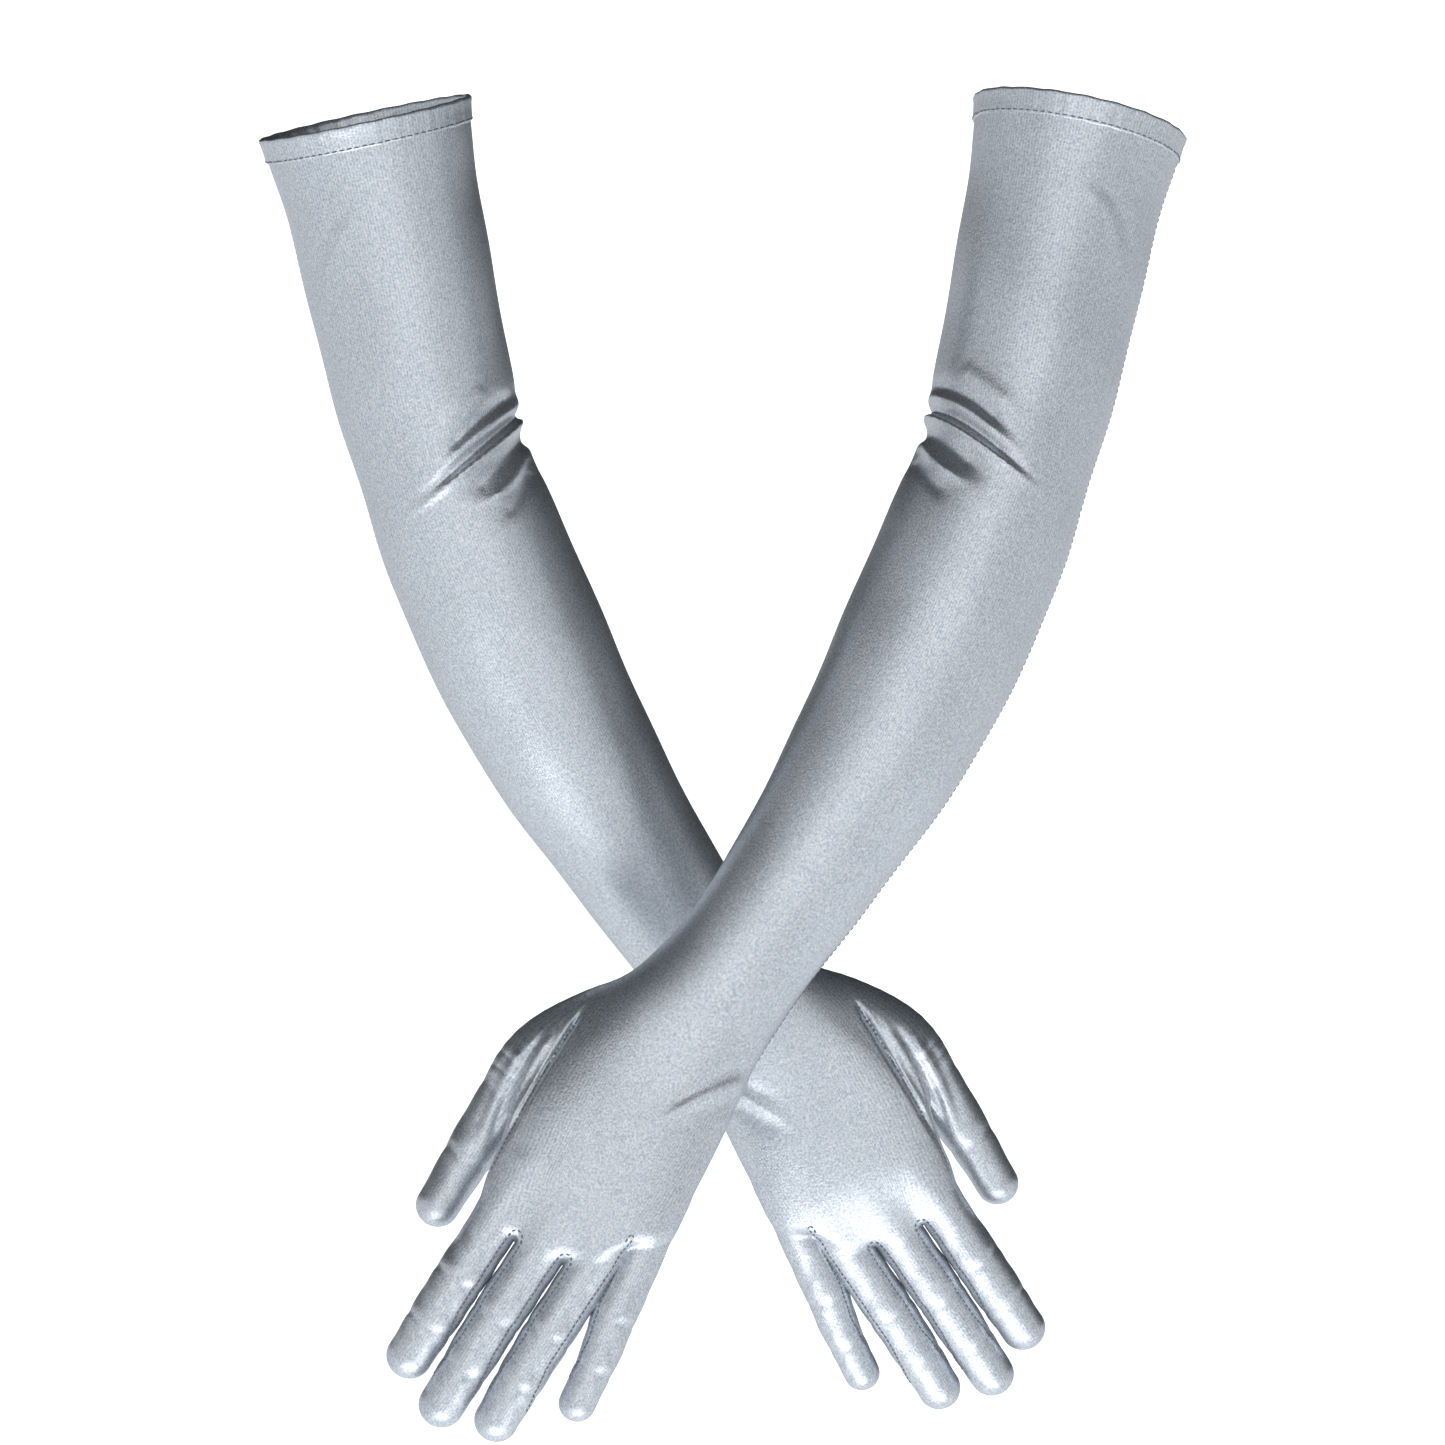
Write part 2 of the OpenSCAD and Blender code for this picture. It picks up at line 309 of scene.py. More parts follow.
def fold_height(P):
    """How far the folds lift the fabric at each point."""
    flat = P[:, [0, 2]]
    lift = np.zeros(len(P))
    for points, height, half in FOLDS:
        line = rounded([(x, z, 0, 0) for x, z in points])[:, :2]
        lo, hi = line.min(0) - REACH * half, line.max(0) + REACH * half
        near = np.flatnonzero(((flat > lo) & (flat < hi)).all(1))
        if len(near) == 0:
            continue
        q = flat[near]
        best, where = np.full(len(q), 1e9), np.zeros(len(q))
        for i in range(len(line) - 1):
            step = line[i + 1] - line[i]
            h = np.clip((q - line[i]) @ step / (step @ step), 0, 1)
            d = np.linalg.norm(q - line[i] - h[:, None] * step, axis=1)
            closer = d < best
            where[closer] = (i + h[closer]) / (len(line) - 1)
            best = np.minimum(best, d)
        fade = np.clip(3.2 * (1 - where), 0, 1) * np.clip(0.45 + 5 * where, 0, 1)
        lift[near] += height * fade ** 2 * np.exp(-((best / half) ** 2))
    return lift


def ripple(s, a, b):
    """Slow unevenness of stretched fabric over an arm."""
    turn = np.arctan2(b, a)
    return (0.22 * np.sin(s / 17 + 1.7 * np.sin(turn)) * np.sin(turn + s / 61)
            + 0.16 * np.sin(s / 8.3 + 2.1 * turn + 1.1))


def field(P, folds=True, sunk=True):
    """Signed distance, near enough, from each point to the glove's skin; inside is negative."""
    s, a, b = limb_coords(P)
    w, t, o, n = along(HALF_W, s), along(HALF_T, s), along(SIDE, s), along(SQUARE, s)
    rho = np.hypot(a - o, b) + 1e-6
    q = ((np.abs(a - o) / w) ** n + (np.abs(b) / t) ** n) ** (1 / n) + 1e-6
    d = rho * (1 - 1 / q)
    rel = P - WRIST
    u, v = rel @ U, rel @ V
    hand = v > -60
    if hand.any():
        end = v[hand] - np.interp(u[hand], *zip(*PALM_END))
        dh = -smooth_min(-d[hand], -end, 5.0)
        fingers = np.min([stub(P[hand], name, sunk) for name in DIGITS[1:]], axis=0)
        dh = smooth_min(dh, fingers, 4.5)
        d[hand] = smooth_min(dh, stub(P[hand], "thumb", sunk), 5.0)
    if folds:
        d -= fold_height(P) + ripple(s, a, b) * np.clip(1 - (s - S_WRIST) / 30, 0.15, 1)
    return d


def slope(P, sunk=True):
    """Unit normals from the field."""
    e = 0.25
    g = np.stack([field(P + e * axis, sunk=sunk) - field(P - e * axis, sunk=sunk) for axis in np.eye(3)], 1)
    return g / (np.linalg.norm(g, axis=1)[:, None] + 1e-9)


# ---- Meshing ----

def grid_faces(rows, columns):
    """Quads of a grid of rows by columns + 1 vertices, the turn closed on its own first column."""
    i, j = [g.ravel() for g in np.meshgrid(np.arange(rows - 1), np.arange(columns), indexing="ij")]
    k = (j + 1) % columns
    return np.stack([i * columns + j, (i + 1) * columns + j, (i + 1) * columns + k, i * columns + k], 1)


def tube_grid(s_from, s_to, rows, columns):
    """Vertices and quads of the limb's skin between two sections, laid out along and around it."""
    ss = np.linspace(s_from, s_to, rows)
    turns = np.linspace(-np.pi, np.pi, columns, endpoint=False)
    s, turn = [g.ravel() for g in np.meshgrid(ss, turns, indexing="ij")]
    c, n = along(C, s), along(N, s)
    out = np.stack([n[:, 0] * np.cos(turn), np.sin(turn), n[:, 1] * np.cos(turn)], 1)
    shift = along(SIDE, s)[:, None] * np.stack([n[:, 0], 0 * s, n[:, 1]], 1)
    base = np.stack([c[:, 0], along(RISE, s), c[:, 1]], 1) + shift
    r = 1 / np.hypot(np.cos(turn) / along(HALF_W, s), np.sin(turn) / along(HALF_T, s))
    for _ in range(7):
        r = r - field(base + r[:, None] * out) * 0.9
    return base + r[:, None] * out, grid_faces(rows, columns)


def nets(values, origin, cell):
    """Surface nets: vertices and quads where the sampled field changes sign."""
    inside = values < 0
    total = np.zeros([n - 1 for n in values.shape] + [3], np.float32)
    count = np.zeros(total.shape[:3], np.float32)
    shape = total.shape[:3]
    for axis in range(3):
        for da in (0, 1):
            for db in (0, 1):
                o = [0, 0, 0]
                o[(axis + 1) % 3], o[(axis + 2) % 3] = da, db
                lo = tuple(slice(o[k], o[k] + shape[k]) for k in range(3))
                o[axis] = 1
                hi = tuple(slice(o[k], o[k] + shape[k]) for k in range(3))
                cross = inside[lo] != inside[hi]
                f0, f1 = values[lo][cross], values[hi][cross]
                p = np.zeros((len(f0), 3), np.float32)
                p[:, axis] = f0 / (f0 - f1)
                p[:, (axis + 1) % 3], p[:, (axis + 2) % 3] = da, db
                total[cross] += p
                count[cross] += 1
    used = count > 0
    index = np.full(shape, -1)
    index[used] = np.arange(used.sum())
    cells = np.argwhere(used)
    verts = (cells + total[used] / count[used][:, None]) * cell + origin
    quads = []
    for axis in range(3):
        b, c = (axis + 1) % 3, (axis + 2) % 3
        n = [values.shape[k] - 1 if k == axis else values.shape[k] for k in range(3)]
        lo = tuple(slice(0, n[k]) for k in range(3))
        hi = tuple(slice(1, n[k] + 1) if k == axis else slice(0, n[k]) for k in range(3))
        cross = np.argwhere(inside[lo] != inside[hi])
        cross = cross[(cross[:, b] > 0) & (cross[:, c] > 0)
                      & (cross[:, b] < shape[b]) & (cross[:, c] < shape[c])]
        flip = inside[lo][tuple(cross.T)]
        corner = []
        for db, dc in ((0, 0), (1, 0), (1, 1), (0, 1)):
            at = cross.copy()
            at[:, b] -= db
            at[:, c] -= dc
            corner.append(index[tuple(at.T)])
        q = np.stack(corner, 1)
        q[~flip] = q[~flip][:, ::-1]
        quads.append(q)
    return verts, np.concatenate(quads)


def net_region(lo, hi, cell):
    """The skin inside a box given in the hand's directions (u, v, y)."""
    n = np.ceil((np.array(hi) - lo) / cell).astype(int) + 1
    axes = [lo[k] + cell * np.arange(n[k]) for k in range(3)]
    block = 6

    def place(q):
        return WRIST + q[:, :1] * U + q[:, 1:2] * V + q[:, 2:] * Y

    # Only blocks near the skin are sampled finely
    starts = np.stack(np.meshgrid(*[np.arange(0, m, block) for m in n], indexing="ij"), -1).reshape(-1, 3)
    d = field(place(np.array(lo) + (starts + block / 2) * cell), folds=False)
    sure = block * cell * 0.9 + 6
    values = np.full(n, 50.0)
    for start in starts[d < -sure]:
        values[tuple(slice(k, k + block) for k in start)] = -50
    cells = np.stack(np.meshgrid(*[np.arange(block)] * 3, indexing="ij"), -1).reshape(-1, 3)
    at = (starts[np.abs(d) <= sure][:, None] + cells).reshape(-1, 3)
    at = at[(at < n).all(1)]
    p = place(np.stack([axes[k][at[:, k]] for k in range(3)], 1))
    values[tuple(at.T)] = field(p)
    v, q = nets(values, np.array(lo, float), cell)
    verts = place(v)
    for _ in range(3):
        verts = verts - field(verts)[:, None] * slope(verts) * 0.8
    return verts, q


def snapped(verts, faces, point, normal):
    """Faces on the near side of a plane, with the cut edge drawn onto the plane along the skin."""
    d = (verts - point) @ normal
    keep = (d[faces] < -0.2).any(1)
    edge = np.intersect1d(faces[keep], faces[~keep])
    for _ in range(4):
        verts[edge] -= ((verts[edge] - point) @ normal)[:, None] * normal
        g = slope(verts[edge])
        g -= (g @ normal)[:, None] * normal
        verts[edge] -= field(verts[edge])[:, None] * g * 0.9
    faces = faces[keep]
    used, new = np.unique(faces, return_inverse=True)
    return verts[used], new.reshape(faces.shape)


# ---- Pieces ----

SHEET = 0.6         # thickness of the knit


def doubled(verts, faces, normals):
    """The outer face, an inner face one sheet further in, and a rim along every open edge."""
    n = len(verts)
    edges = np.concatenate([faces[:, [k, (k + 1) % 4]] for k in range(4)])
    edges = edges[edges[:, 0] != edges[:, 1]]
    key = edges[:, 0] * n + edges[:, 1]
    open_edges = edges[~np.isin(key, edges[:, 1] * n + edges[:, 0])]
    a, b = open_edges.T
    rim = np.stack([b, a, a + n, b + n], 1)
    return (np.concatenate([verts, verts - SHEET * normals]),
            np.concatenate([faces, faces[:, ::-1] + n, rim]), np.concatenate([normals, -normals]))


def fabric(name, side, verts, faces, normals, uv, material, lining, closed=False):
    """A knit piece of one thickness on one side, smooth-shaded from the skin's own normals."""
    outer = len(faces)
    if not closed:
        verts, faces, normals = doubled(verts, faces, normals)
        uv = np.concatenate([uv, uv])
    points = placed(verts, side)
    tips = placed(verts + normals, side) - points
    if side == "left":
        faces = faces[:, ::-1]
    rows = [list(dict.fromkeys(f)) for f in faces.tolist()]
    mesh = bpy.data.meshes.new(name)
    mesh.from_pydata(points.tolist(), [], rows)
    mesh.materials.append(material)
    mesh.materials.append(lining)
    mesh.polygons.foreach_set("use_smooth", np.ones(len(rows), bool))
    mesh.polygons.foreach_set("material_index", np.arange(len(rows)) >= outer)
    loops = np.empty(len(mesh.loops), np.int32)
    mesh.loops.foreach_get("vertex_index", loops)
    layer = mesh.uv_layers.new(name="cloth")
    coords = uv[loops].reshape(-1, 2)
    layer.data.foreach_set("uv", (coords * MM).ravel().astype(np.float32))
    mesh.normals_split_custom_set_from_vertices((tips / np.linalg.norm(tips, axis=1)[:, None]).tolist())
    o = bpy.data.objects.new(name, mesh)
    bpy.context.scene.collection.objects.link(o)
    return o


def limb_uv(verts):
    """Around and along the limb, in mm."""
    s, a, b = limb_coords(verts)
    return np.stack([np.arctan2(b, a) * 34.0, s], 1)


S_FORE = UPPER_LEN + 0.5 * FORE_LEN       # the sleeve's two pieces meet in mid-forearm
S_HAND = S_WRIST - 6                      # and the hand's skin begins here


def sleeve_parts():
    """The two sleeve pieces: vertices, faces."""
    columns = 168
    return {"upper_skin": tube_grid(1.2, S_FORE, 200, columns),
            "forearm_skin": tube_grid(S_FORE, S_HAND, 96, columns)}


def hand_part():
    """The hand's skin from the wrist to its stubs."""
    verts, faces = net_region((-46, -14, -26), (64, 122, 28), 1.0)
    at = np.array([S_HAND])
    (cx, cz), (tx, tz) = along(C, at)[0], along(T, at)[0]
    return snapped(verts, faces, np.array([cx, 0, cz]), -np.array([tx, 0, tz]))


# ---- Stalls: each digit's own tube, closed at the tip ----

STALL_BEFORE = 12   # a stall begins this far up the hand from where it comes out of the skin
FLATTEN = 0.95      # a stall is a little flatter than round
SEAM_TURN = math.radians(38)      # a fourchette seam lies this far from the side of the finger
FREE_SIDE = {"thumb": 1, "index": 1, "middle": 0, "ring": 0, "little": -1}
# Crotches: the digits on its two sides, and u and v
WEBS = [("index", "middle", 16.8, 101.1), ("middle", "ring", -4.2, 99.5), ("ring", "little", -24, 81.1)]
FINGER_SEAMS = {"index": (-1,), "middle": (-1, 1), "ring": (-1, 1), "little": (1,), "thumb": ()}


def stall_grid(name):
    """A digit's skin: vertices, faces, normals, uv, and the turn and place down the digit of each vertex."""
    line, radius = LINES[name]
    fine = 1
    columns, cap = 64 // fine, 12 // fine
    rows = 72 // fine
    length = np.concatenate([[0], np.cumsum(np.linalg.norm(np.diff(line, axis=0), axis=1))])
    down = (line - WRIST) @ V
    begin, total = np.interp(EMERGE[name] - STALL_BEFORE, down, length), length[-1]
    x = np.concatenate([np.linspace(begin, total, rows, endpoint=False), np.full(cap, total)])
    bend = np.concatenate([np.zeros(rows), np.linspace(0, 0.5 * np.pi, cap, endpoint=False)])

    def at(array, pos):
        return np.stack([np.interp(pos, length, array[:, i]) for i in range(3)], 1)

    ahead = at(line, x + 1.5) - at(line, x - 1.5)
    ahead[rows:] = line[-1] - line[-4]
    ahead = smooth_rows(ahead)
    ahead /= np.linalg.norm(ahead, axis=1)[:, None]
    side_dir = np.cross(Y, ahead)
    side_dir *= np.sign(side_dir @ U)[:, None]
    side_dir /= np.linalg.norm(side_dir, axis=1)[:, None]
    back_dir = np.cross(ahead, side_dir)
    back_dir *= np.sign(back_dir @ Y)[:, None]
    r = np.interp(x, length, radius)
    turns = np.linspace(-np.pi, np.pi, columns, endpoint=False)
    place = (x - begin) / (total - begin)
    v = np.interp(x, length, down)
    out = smooth_step(v, EMERGE[name] - 2, EMERGE[name] + 14)     # 0 in the hand's skin, 1 on its own
    lift = digit_lift(name, x[:, None] / total, turns[None], place[:, None]) * (np.cos(bend) * out)[:, None]
    middle = at(line, x) + ahead * (r * np.sin(bend))[:, None]
    flat = 1 - (1 - FLATTEN) * out
    around = (np.cos(turns)[None, :, None] * side_dir[:, None]
              + (flat[:, None] * np.sin(turns))[..., None] * back_dir[:, None])
    ring = (r * np.cos(bend))[:, None] + lift
    # Near the knuckles the back and the palm side lie on the hand's own surface
    joined = np.flatnonzero(out < 1)
    on_skin = ring[joined].ravel()
    centre, way = np.repeat(middle[joined], columns, 0), around[joined].reshape(-1, 3)
    start = on_skin.copy()
    for _ in range(6):
        gap = field(centre + on_skin[:, None] * way, sunk=False)
        on_skin = np.clip(on_skin - 0.9 * gap, start - 1.5, start + 2.5)
    open_way = np.maximum(np.abs(np.sin(turns)), FREE_SIDE[name] * np.cos(turns))
    share = (1 - out[joined])[:, None] * smooth_step(open_way, 0.35, 0.8)
    ring[joined] += share * (on_skin - start).reshape(len(joined), columns)
    proud = 0.12 - 0.62 * (1 - smooth_step(v, EMERGE[name] - 9, EMERGE[name] + 2))
    ring += proud[:, None] * np.cos(bend)[:, None]
    verts = middle[:, None] + ring[..., None] * around
    folds = fold_height(verts.reshape(-1, 3)).reshape(ring.shape) * out[:, None]
    verts = verts + folds[..., None] * around
    pole = line[-1] + ahead[-1] * r[-1]
    total_rows = len(x)
    verts = np.concatenate([verts.reshape(-1, 3), pole[None]])
    faces = grid_faces(total_rows, columns)
    last = (total_rows - 1) * columns + np.arange(columns)
    nxt = (total_rows - 1) * columns + (np.arange(columns) + 1) % columns
    tip = np.full(columns, len(verts) - 1)
    faces = np.concatenate([faces, np.stack([last, tip, tip, nxt], 1)])
    # Outward faces whichever way the frame turns
    mid = verts[faces[0]].mean(0)
    n0 = np.cross(verts[faces[0][1]] - verts[faces[0][0]], verts[faces[0][2]] - verts[faces[0][1]])
    if n0 @ (mid - line[0] - ((mid - line[0]) @ ahead[0]) * ahead[0]) < 0:
        faces = faces[:, ::-1]
    uv = np.stack([np.tile(turns * 9.0, total_rows), np.repeat(x + bend * r, columns)], 1)
    uv = np.concatenate([uv, [[0, total + 1.5 * r[-1]]]])
    turn = np.concatenate([np.tile(turns, total_rows), [0]])
    normals = vertex_normals(verts, faces)
    near = np.flatnonzero(np.append(np.repeat(out, columns), 1) < 1)
    share = 1 - np.repeat(out, columns)[near]
    share *= smooth_step(np.append(np.tile(open_way, total_rows), 1)[near], 0.2, 0.6)
    mixed = normals[near] * (1 - share)[:, None] + slope(verts[near], sunk=False) * share[:, None]
    normals[near] = mixed / np.linalg.norm(mixed, axis=1)[:, None]
    return verts, faces, normals, uv, turn, np.append(np.repeat(place, columns), 1)


def smooth_rows(rows):
    """Each row averaged with its neighbours."""
    long = np.concatenate([rows[:1], rows, rows[-1:]])
    return (long[:-2] + 2 * long[1:-1] + long[2:]) / 4


def digit_lift(name, x, turn, place):
    """Seam grooves, and the small creases of fabric over a finger's joints."""
    lift = 0.16 * np.sin(x * 37 + 2 * turn + len(name)) * np.sin(turn * 2 + x * 11)
    for at in (0.55, 0.79):
        bump = np.exp(-((x - at) / 0.035) ** 2)
        groove = np.exp(-((x - at - 0.04 - 0.01 * np.sin(3 * turn)) / 0.016) ** 2)
        lift = lift + 0.25 * bump * np.sin(turn) ** 2 - 0.28 * groove
    for toward in FINGER_SEAMS[name]:
        middle = 0 if toward > 0 else np.pi
        away = np.abs(np.angle(np.exp(1j * (turn - middle))))
        groove = np.exp(-((away - seam_turn(place)) / 0.06) ** 2)
        lift = lift - 0.32 * groove
    return lift


def seam_turn(place):
    """Half the angle that a fourchette takes up, closing to a point near the fingertip."""
    return SEAM_TURN * np.clip((0.93 - place) / 0.25, 0, 1) ** 0.6


def vertex_normals(verts, faces):
    """Area-weighted normals."""
    n = np.cross(verts[faces[:, 2]] - verts[faces[:, 0]], verts[faces[:, 3]] - verts[faces[:, 1]])
    out = np.zeros_like(verts)
    for k in range(4):
        np.add.at(out, faces[:, k], n)
    return out / (np.linalg.norm(out, axis=1)[:, None] + 1e-12)


def digit_parts():
    """Each digit's stall and its fourchettes: (piece name, digit, verts, faces, normals, uv)."""
    out = []
    for name in DIGITS:
        verts, faces, normals, uv, turn, place = stall_grid(name)
        mid = faces[:, 0]
        t, at = turn[mid], place[mid]
        left = np.ones(len(faces), bool)
        for toward in FINGER_SEAMS[name]:
            middle = 0 if toward > 0 else np.pi
            strip = np.abs(np.angle(np.exp(1j * (t - middle)))) < seam_turn(at) - 0.03
            left &= ~strip
            letter = {1: "a", -1: "b"}[toward] if len(FINGER_SEAMS[name]) > 1 else ""
            piece = f"{name}_fourchette" + (f"_{letter}" if letter else "")
            out.append((piece, name, verts, faces[strip], normals, uv))
        out.append((name, name, verts, faces[left], normals, uv))
    return out


def used_only(verts, faces, *rest):
    """Drops the vertices that no face uses."""
    used, new = np.unique(faces, return_inverse=True)
    return verts[used], new.reshape(faces.shape), *[r[used] for r in rest]


# ---- Hem: a turned band round each cuff, and the thread runs ----

HEM = [(9.0, 0.0), (8.9, 0.45), (8.2, 0.62), (5.0, 0.66), (2.2, 0.85), (0.7, 1.15), (-0.2, 1.1), (-0.7, 0.55),
       (-0.7, -0.1), (-0.2, -0.7), (1.0, -1.0), (4.0, -1.05), (8.6, -1.0), (8.9, -0.62)]
HEM_SEAM = 8.0      # the hem's stitches run this far below the cuff's edge


def limb_surface(s, turn, lift=0.0):
    """Points on the limb's skin at s and turn, raised by lift."""
    s, turn = np.broadcast_arrays(np.asarray(s, float), np.asarray(turn, float))
    c, n = along(C, s), along(N, s)
    out = np.stack([n[:, 0] * np.cos(turn), np.sin(turn), n[:, 1] * np.cos(turn)], 1)
    base = np.stack([c[:, 0], 0 * s, c[:, 1]], 1)
    r = 1 / np.hypot(np.cos(turn) / along(HALF_W, s), np.sin(turn) / along(HALF_T, s))
    for _ in range(7):
        r = r - field(base + r[:, None] * out) * 0.9
    return base + (r + lift)[:, None] * out


def hem_part():
    """The turned hem as a closed band, softly uneven where the stitches draw it in."""
    columns = 220
    turns = np.linspace(-np.pi, np.pi, columns, endpoint=False)
    rows = []
    for s, lift in HEM:
        pull = 0.10 * np.sin(turns * 34) + 0.07 * np.sin(turns * 57 + 1)
        wave = 0.35 * np.sin(turns * 3 + 0.6) * (1 - np.clip(s / 9, 0, 1))
        rows.append(limb_surface(np.full(columns, s) + 0.12 * np.sin(turns * 21), turns, lift + pull + wave))
    verts = np.concatenate(rows)
    faces = grid_faces(len(HEM), columns)
    k = np.arange(columns)
    n = (len(HEM) - 1) * columns
    close = np.stack([n + k, k, (k + 1) % columns, n + (k + 1) % columns], 1)
    return verts, np.concatenate([faces, close])[:, ::-1]


def added(tree, kind, settings=None, **links):
    """One node of a tree with its settings, input values and links, by socket name or number."""
    node = tree.nodes.new(kind)
    for key, value in (settings or {}).items():
        setattr(node, key, value)
    for key, value in links.items():
        socket = node.inputs[int(key[1:])] if key[0] == "_" else node.inputs[key.replace("_", " ")]
        if isinstance(value, bpy.types.NodeSocket):
            tree.links.new(value, socket)
        else:
            socket.default_value = value
    return node


def stitch_tree():
    """Lock stitches laid end to end along a path: a slim grain of thread at each step."""
    tree = bpy.data.node_groups.new("stitch_run", "GeometryNodeTree")
    face = tree.interface
    face.new_socket("Geometry", in_out="INPUT", socket_type="NodeSocketGeometry")
    for label in ("Stitch length", "Stitch step", "Thread radius"):
        face.new_socket(label, in_out="INPUT", socket_type="NodeSocketFloat")
    face.new_socket("Thread", in_out="INPUT", socket_type="NodeSocketMaterial")
    face.new_socket("Geometry", in_out="OUTPUT", socket_type="NodeSocketGeometry")
    given = tree.nodes.new("NodeGroupInput").outputs
    curve = added(tree, "GeometryNodeMeshToCurve", _0=given["Geometry"])
    steps = added(tree, "GeometryNodeResampleCurve", _0=curve.outputs[0])
    if "Mode" in steps.inputs:
        steps.inputs["Mode"].default_value = "Length"
    else:
        steps.mode = "LENGTH"
    tree.links.new(given["Stitch step"], steps.inputs["Length"])
    tangent = added(tree, "GeometryNodeInputTangent")
    turn = added(tree, "FunctionNodeAlignRotationToVector", {"axis": "Z"}, Vector=tangent.outputs[0])
    half = added(tree, "ShaderNodeMath", {"operation": "MULTIPLY"}, _0=given["Stitch length"], _1=0.5)
    size = added(tree, "ShaderNodeCombineXYZ", X=given["Thread radius"], Y=given["Thread radius"],
                 Z=half.outputs[0])
    grain = added(tree, "GeometryNodeMeshUVSphere", Segments=8, Rings=5, Radius=1.0)
    laid = added(tree, "GeometryNodeInstanceOnPoints", Points=steps.outputs[0], Instance=grain.outputs[0],
                 Rotation=turn.outputs[0], Scale=size.outputs[0])
    real = added(tree, "GeometryNodeRealizeInstances", _0=laid.outputs[0])
    done = added(tree, "GeometryNodeSetMaterial", Geometry=real.outputs[0], Material=given["Thread"])
    out = tree.nodes.new("NodeGroupOutput")
    tree.links.new(done.outputs[0], out.inputs[0])
    return tree


STITCH_LENGTH, STITCH_STEP, THREAD_RADIUS = 1.9, 2.5, 0.27     # mm, a fine lock stitch


def stitched(name, side, path, tree, thread, closed=False, step=STITCH_STEP, length=STITCH_LENGTH):
    """A run of stitches along points in the glove's plane, made a plain mesh."""
    points = placed(path, side)
    mesh = bpy.data.meshes.new(name + "_path")
    count = len(points)
    edges = [(i, (i + 1) % count) for i in range(count if closed else count - 1)]
    mesh.from_pydata(points.tolist(), edges, [])
    o = bpy.data.objects.new(name, mesh)
    bpy.context.scene.collection.objects.link(o)
    mod = o.modifiers.new("stitches", "NODES")
    mod.node_group = tree
    values = {"Stitch length": length * MM, "Stitch step": step * MM,
              "Thread radius": THREAD_RADIUS * MM, "Thread": thread}
    for item in tree.interface.items_tree:
        if item.in_out == "INPUT" and item.name in values:
            mod[item.identifier] = values[item.name]
    graph = bpy.context.evaluated_depsgraph_get()
    plain = bpy.data.meshes.new_from_object(o.evaluated_get(graph))
    o.modifiers.remove(mod)
    o.data = plain
    bpy.data.meshes.remove(mesh)
    o.data.polygons.foreach_set("use_smooth", np.ones(len(o.data.polygons), bool))
    return o


def on_skin(u, v, palm):
    """Points on the hand's skin at (u, v), on its palm side or its back."""
    sign = 1 if palm else -1
    y = np.full(len(u), 30.0 * sign)
    for _ in range(25):
        p = WRIST + u[:, None] * U + v[:, None] * V + y[:, None] * Y
        y = y - sign * 0.9 * field(p, sunk=False)
    return p + 0.14 * sign * Y


def seam_line(name, toward, palm):
    """One line of a fourchette seam down a digit, a little above its skin, from the crotch on."""
    verts, faces, normals, uv, turn, place = stall_grid(name)
    columns = 64 // 1
    start = next(web for a, b, _, web in WEBS if name == (a if toward < 0 else b))
    side, line = (0 if toward > 0 else np.pi), []
    sign = (1 if palm else -1) * (1 if toward > 0 else -1)
    for i in range((len(verts) - 1) // columns):
        ring = slice(i * columns, (i + 1) * columns)
        if place[i * columns] > 0.9:
            break
        away = np.angle(np.exp(1j * (turn[ring] - side - sign * (seam_turn(place[i * columns]) + 0.10))))
        j = int(np.abs(away).argmin())
        k = (j + (1 if away[j] < 0 else -1)) % columns
        f = abs(away[j]) / (2 * np.pi / columns)
        p = verts[ring][j] * (1 - f) + verts[ring][k] * f + 0.12 * normals[ring][j]
        if (p - WRIST) @ V > start - 1:
            line.append(p)
    line = np.array(line)
    line[1:-1] = (line[:-2] + 2 * line[1:-1] + line[2:]) / 4
    down = (line - WRIST) @ V
    low = down < EMERGE[name] + 4
    if low.any():
        line[low] = on_skin((line[low] - WRIST) @ U, down[low], palm)
    return line


def crotch_arc(a, b, palm):
    """The seam's turn round a crotch, from the digit on one side of it to the digit on the other."""
    first, last = [((seam_line(*digit, palm)[0] - WRIST) @ np.array([U, V]).T) for digit in ((a, -1), (b, 1))]
    t = np.linspace(0, np.pi, 14)
    middle, half = (first + last) / 2, (first - last) / 2
    u = middle[0] + half[0] * np.cos(t)
    v = middle[1] + half[1] * np.cos(t) - 3.0 * np.sin(t)
    return on_skin(u, v, palm)


# ---- Materials ----

def linear(code):
    """sRGB hex to linear colour."""
    channels = [int(code[i:i + 2], 16) / 255 for i in (1, 3, 5)]
    return [*(c / 12.92 if c <= 0.04045 else ((c + 0.055) / 1.055) ** 2.4 for c in channels), 1]


RIB_MM = 1.1        # ribs of the knit; the real ones are about 0.4 mm, drawn coarser so that they show
SPARKLE_GRAIN_MM = 0.8     # single loops of shiny yarn, also drawn coarser: their noise gives a bump and a painted sparkle, light and dark specks in the colour
